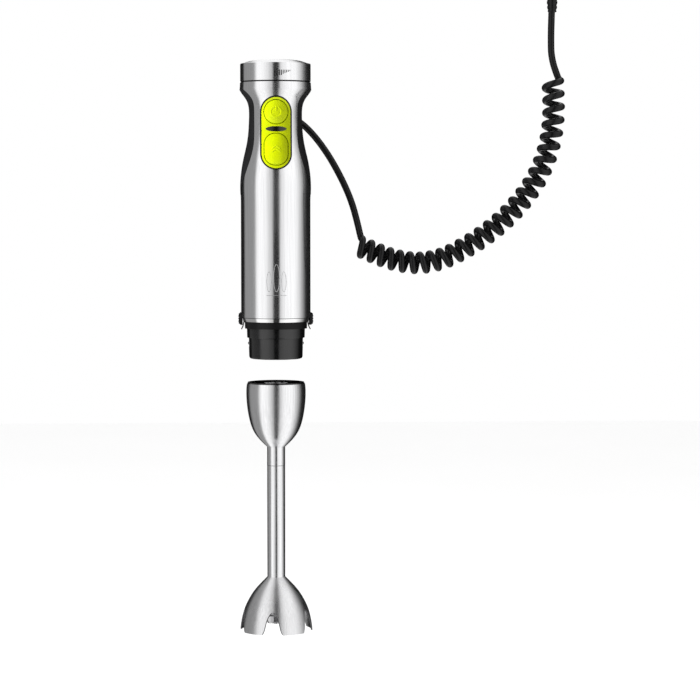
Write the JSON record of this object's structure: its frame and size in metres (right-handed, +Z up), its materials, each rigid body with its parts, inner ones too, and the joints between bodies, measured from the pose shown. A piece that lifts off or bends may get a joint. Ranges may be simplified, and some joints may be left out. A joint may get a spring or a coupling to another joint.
{
  "type": "immersion blender",
  "caption": "Hand-held stick blender: waisted steel motor handle with a top speed dial, side-release detachable steel wand with a petalled blade guard, and a curly mains cord.",
  "frame": {"origin": "on the axis of the handle, at the waist of its grip", "axes": "+Z up along the axis of handle and wand towards the speed dial; -Y is the front, where the buttons are; +X is the side on which the cord leaves"},
  "size_m": [0.2804, 0.0927, 0.5905],
  "materials": {
    "polished_steel": "satin polished stainless steel",
    "brushed_wand_steel": "fine brushed stainless steel",
    "soft_grip": "soft-touch black",
    "black_trim": "matt black",
    "black_plastic": "black moulded",
    "black_gloss": "glossy black moulded",
    "lime_plastic": "satin lime, soft-touch",
    "inner_plastic": "glass-filled nylon",
    "circuit_board": "green board",
    "carbon": "carbon",
    "cast_alloy": "die-cast",
    "lamination_steel": "varnished laminations",
    "copper_wire": "enamelled copper",
    "zinc_steel": "turned steel",
    "spring_steel": "bright spring steel",
    "blade_steel": "ground stainless steel",
    "bronze": "sintered bronze",
    "seal_rubber": "nitrile",
    "cord_rubber": "black polyurethane sheath",
    "plug_rubber": "moulded-on plug",
    "nickel_pins": "nickel-plated"
  },
  "bodies": {
    "handle": {"steel_housing": "polished_steel", "rear_grip": "soft_grip", "button_surround": "black_trim", "button_bezel": "lime_plastic", "indicator_lens": "black_gloss", "dial_seat": "black_plastic", "chassis_screws": "zinc_steel", "base_ring": "polished_steel", "coupling_collar": "black_plastic", "coupling_boss": "black_gloss", "chassis_front": "inner_plastic", "chassis_rear": "inner_plastic", "control_board": "circuit_board", "microswitches": "black_plastic", "speed_potentiometer": "black_plastic", "upper_motor_bracket": "inner_plastic", "carbon_brushes": "carbon", "lower_motor_bracket": "cast_alloy", "motor_bearings": "zinc_steel", "stator_core": "lamination_steel", "field_winding": "copper_wire", "cord_gland": "cord_rubber", "cord_strain_relief": "cord_rubber", "cord_lead": "cord_rubber", "curly_cord": "cord_rubber", "cord_tail": "cord_rubber", "plug_strain_relief": "cord_rubber", "plug_body": "plug_rubber", "plug_pins": "nickel_pins"},
    "dial": {"dial_cap": "polished_steel", "dial_hub": "black_plastic"},
    "speed_button": {"speed_button": "lime_plastic"},
    "turbo_button": {"turbo_button": "lime_plastic"},
    "release_right": {"right_release_pad": "black_plastic", "right_release_catch": "spring_steel"},
    "release_left": {"left_release_pad": "black_plastic", "left_release_catch": "spring_steel"},
    "motor_rotor": {"armature_core": "lamination_steel", "armature_winding": "copper_wire", "commutator": "copper_wire", "motor_shaft": "zinc_steel", "cooling_fan": "inner_plastic", "drive_coupler": "black_gloss"},
    "wand": {"wand_cup": "brushed_wand_steel", "cup_liner": "black_gloss", "socket_tower": "black_gloss", "socket_ring": "polished_steel", "wand_sleeve": "brushed_wand_steel", "wand_tube": "brushed_wand_steel", "bell_guard": "brushed_wand_steel", "bell_hub": "inner_plastic", "shaft_bushes": "bronze", "shaft_seal": "seal_rubber"},
    "blade_drive": {"drive_socket": "inner_plastic", "drive_shaft": "zinc_steel", "blade": "blade_steel", "blade_nut": "zinc_steel"}
  },
  "joints": [
    {"name": "dial_turn", "type": "hinge", "parent": "handle", "child": "dial", "pos_m": [0, 0, 0.03], "axis": [0, 0, 1], "range_deg": [-270, 0]},
    {"name": "speed_button_press", "type": "slide", "parent": "handle", "child": "speed_button", "axis": [0, 1, 0], "range_m": [0, 0.0016], "stiffness_N_per_m": 900},
    {"name": "turbo_button_press", "type": "slide", "parent": "handle", "child": "turbo_button", "axis": [0, 1, 0], "range_m": [0, 0.0016], "stiffness_N_per_m": 900},
    {"name": "release_right_press", "type": "slide", "parent": "handle", "child": "release_right", "axis": [-1, 0, 0], "range_m": [0, 0.0016], "stiffness_N_per_m": 900},
    {"name": "release_left_press", "type": "slide", "parent": "handle", "child": "release_left", "axis": [1, 0, 0], "range_m": [0, 0.0016], "stiffness_N_per_m": 900},
    {"name": "motor_spin", "type": "hinge", "parent": "handle", "child": "motor_rotor", "pos_m": [0, 0, -0.118], "axis": [0, 0, 1], "continuous": true},
    {"name": "wand_dock", "type": "slide", "parent": "handle", "child": "wand", "axis": [0, 0, 1], "range_m": [0, 0.036]},
    {"name": "blade_spin", "type": "hinge", "parent": "wand", "child": "blade_drive", "pos_m": [0, 0, -0.33], "axis": [0, 0, 1], "continuous": true}
  ],
  "couplings": [
    {"joint": "blade_spin", "follows": "motor_spin", "ratio": 1}
  ]
}
